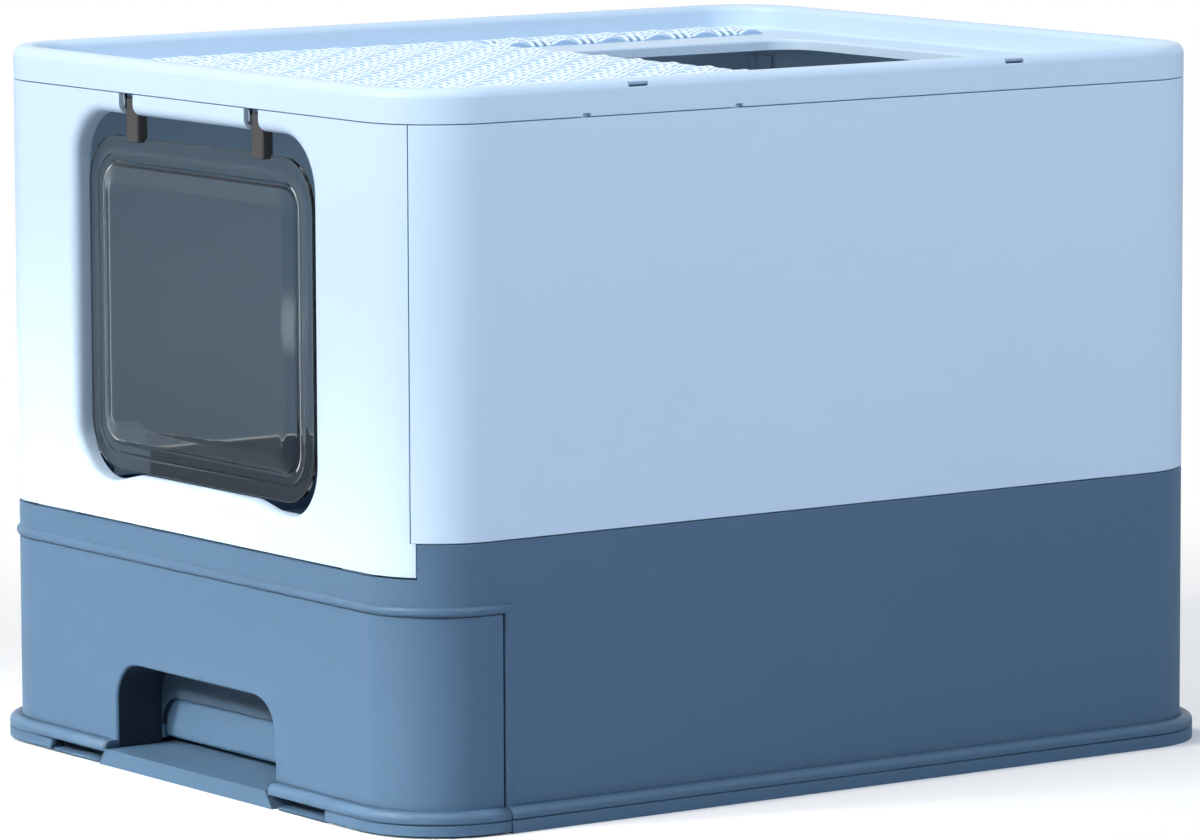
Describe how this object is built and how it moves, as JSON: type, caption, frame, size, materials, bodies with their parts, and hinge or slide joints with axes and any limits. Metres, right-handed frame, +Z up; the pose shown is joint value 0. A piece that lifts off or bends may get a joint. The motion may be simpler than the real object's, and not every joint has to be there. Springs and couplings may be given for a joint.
{
  "type": "top-entry litter box",
  "caption": "Covered litter box with a rear top entry hole, slotted lid deck, front flap door and a pull-out litter tray under folding wall panels.",
  "frame": {"origin": "on the floor, under the middle of the box", "axes": "+Z up; the door and the drawer face -Y; +X is to the right of someone who faces the box's back from its front"},
  "size_m": [0.41, 0.51, 0.36],
  "materials": {
    "shell_plastic": "satin light-blue moulded plastic",
    "base_plastic": "satin slate-blue moulded plastic",
    "smoke_plastic": "smoked see-through plastic"
  },
  "bodies": {
    "cabinet": {"base_frame": "base_plastic", "base_floor": "base_plastic", "front_panel": "shell_plastic", "rear_panel": "shell_plastic", "left_panel": "shell_plastic", "right_panel": "shell_plastic"},
    "drawer": {"drawer_front": "base_plastic", "litter_tray": "base_plastic"},
    "door": {"door_flap": "smoke_plastic"},
    "lid": {"lid_cover": "shell_plastic", "front_grate": "shell_plastic", "left_grate": "shell_plastic", "right_grate": "shell_plastic"}
  },
  "joints": [
    {"name": "drawer_slide", "type": "slide", "parent": "cabinet", "child": "drawer", "axis": [0, -1, 0], "range_m": [0, 0.42]},
    {"name": "door_swing", "type": "hinge", "parent": "cabinet", "child": "door", "pos_m": [0, -0.2421, 0.337], "axis": [1, 0, 0], "range_deg": [0, 85]},
    {"name": "lid_lift", "type": "slide", "parent": "cabinet", "child": "lid", "axis": [0, 0, 1], "range_m": [0, 0.15]}
  ]
}
